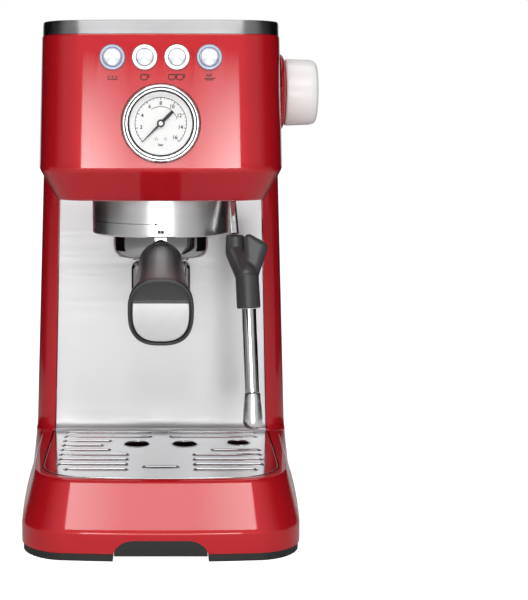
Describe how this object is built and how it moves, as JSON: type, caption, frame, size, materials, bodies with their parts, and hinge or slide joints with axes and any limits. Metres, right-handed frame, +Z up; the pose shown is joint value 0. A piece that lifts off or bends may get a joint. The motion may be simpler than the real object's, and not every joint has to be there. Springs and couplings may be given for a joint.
{
  "type": "espresso machine",
  "caption": "Compact pump espresso machine: red coated body, steel panels, gauge, buttons, portafilter, steam wand, drip tray and lift-out rear tank.",
  "frame": {"origin": "middle of the body's footprint on the counter, in the left-right symmetry plane", "axes": "+X to the machine's right as its user sees it (the steam knob's side), -Y to the front (the portafilter's side), +Z up"},
  "size_m": [0.2169, 0.3666, 0.36],
  "materials": {
    "red": "gloss",
    "stainless": "satin",
    "chrome": "polished",
    "black_plastic": "satin",
    "rubber": "matte",
    "white_plastic": "satin",
    "lamp_plastic": "gloss",
    "dial_white": "matte",
    "glass": "clear",
    "smoke_clear": "clear",
    "brass": "machined",
    "cast_alloy": "cast",
    "zinc_steel": "plated",
    "copper": "drawn",
    "silicone": "matte",
    "circuit_board": "satin",
    "hose_white": "satin"
  },
  "bodies": {
    "housing": {"foot_rail": "rubber", "base_plate": "black_plastic", "base_shell": "red", "column_shell": "red", "splash_panel": "stainless", "head_shell": "red", "head_floor": "red", "top_rim": "stainless", "cup_shelf": "stainless", "rear_panel": "black_plastic", "case_screws": "chrome", "inner_frame": "zinc_steel", "power_switch_housing": "black_plastic", "cord_gland": "rubber", "button_rings": "lamp_plastic", "light_rings": "lamp_plastic", "switch_board": "circuit_board", "micro_switches": "black_plastic", "control_board": "circuit_board", "gauge_case": "black_plastic", "gauge_dial": "dial_white", "gauge_glass": "glass", "gauge_bezel": "chrome", "gauge_tube": "copper", "knob_boss": "red", "steam_valve": "brass", "group_collar": "stainless", "group_head": "cast_alloy", "group_seal": "silicone", "shower_screen": "stainless", "screen_screw": "chrome", "thermoblock": "cast_alloy", "pump": "brass", "pump_mounts": "rubber", "flow_meter": "hose_white", "solenoid_valve": "brass", "water_pipes": "hose_white", "wand_socket": "black_plastic"},
    "button_program": {"button_program": "chrome"},
    "button_one_cup": {"button_one_cup": "chrome"},
    "button_two_cups": {"button_two_cups": "chrome"},
    "button_steam": {"button_steam": "chrome"},
    "power_rocker": {"power_rocker": "black_plastic"},
    "gauge_needle": {"gauge_needle": "black_plastic"},
    "steam_knob": {"steam_knob": "white_plastic"},
    "portafilter": {"portafilter_bowl": "chrome", "filter_basket": "stainless", "portafilter_spouts": "chrome", "handle_ferrule": "black_plastic", "portafilter_handle": "black_plastic", "handle_plate": "chrome"},
    "wand_swivel": {"wand_ball": "chrome"},
    "wand_arm": {"wand_pipe": "chrome", "wand_grip": "black_plastic", "wand_sleeve": "chrome", "wand_nozzle": "chrome"},
    "drip_tray": {"drip_tray": "black_plastic"},
    "drip_grille": {"drip_grille": "stainless"},
    "water_tank": {"water_tank": "smoke_clear"},
    "tank_lid": {"tank_lid": "black_plastic"}
  },
  "joints": [
    {"name": "button_program_press", "type": "slide", "parent": "housing", "child": "button_program", "axis": [0, 1, 0], "range_m": [0, 0.0012], "stiffness_N_per_m": 500},
    {"name": "button_one_cup_press", "type": "slide", "parent": "housing", "child": "button_one_cup", "axis": [0, 1, 0], "range_m": [0, 0.0012], "stiffness_N_per_m": 500},
    {"name": "button_two_cups_press", "type": "slide", "parent": "housing", "child": "button_two_cups", "axis": [0, 1, 0], "range_m": [0, 0.0012], "stiffness_N_per_m": 500},
    {"name": "button_steam_press", "type": "slide", "parent": "housing", "child": "button_steam", "axis": [0, 1, 0], "range_m": [0, 0.0012], "stiffness_N_per_m": 500},
    {"name": "power_rocker_tilt", "type": "hinge", "parent": "housing", "child": "power_rocker", "pos_m": [0.045, 0.157, 0.0305], "axis": [-1, 0, 0], "range_deg": [0, 14]},
    {"name": "gauge_needle_turn", "type": "hinge", "parent": "housing", "child": "gauge_needle", "pos_m": [0, -0.115, 0.2904], "axis": [0, 1, 0], "range_deg": [0, 270]},
    {"name": "steam_knob_turn", "type": "hinge", "parent": "housing", "child": "steam_knob", "pos_m": [0.09, -0.02, 0.3125], "axis": [1, 0, 0], "range_deg": [0, 270]},
    {"name": "portafilter_lock", "type": "hinge", "parent": "housing", "child": "portafilter", "pos_m": [0, -0.0443, 0.2], "axis": [0, 0, 1], "range_deg": [-50, 0]},
    {"name": "wand_swivel_turn", "type": "hinge", "parent": "housing", "child": "wand_swivel", "pos_m": [0.0503, -0.066, 0.242], "axis": [0, 0, 1], "range_deg": [-20, 60]},
    {"name": "wand_tilt", "type": "hinge", "parent": "wand_swivel", "child": "wand_arm", "pos_m": [0.0503, -0.066, 0.242], "axis": [-0.9671, -0.2545, 0], "range_deg": [0, 25]},
    {"name": "drip_tray_lift", "type": "slide", "parent": "housing", "child": "drip_tray", "axis": [0, 0, 1], "range_m": [0, 0.022]},
    {"name": "drip_grille_lift", "type": "slide", "parent": "drip_tray", "child": "drip_grille", "axis": [0, 0, 1], "range_m": [0, 0.022]},
    {"name": "water_tank_lift", "type": "slide", "parent": "housing", "child": "water_tank", "axis": [0, 0, 1], "range_m": [0, 0.22]},
    {"name": "tank_lid_open", "type": "hinge", "parent": "water_tank", "child": "tank_lid", "pos_m": [0, 0.1602, 0.3402], "axis": [-1, 0, 0], "range_deg": [0, 95]}
  ]
}
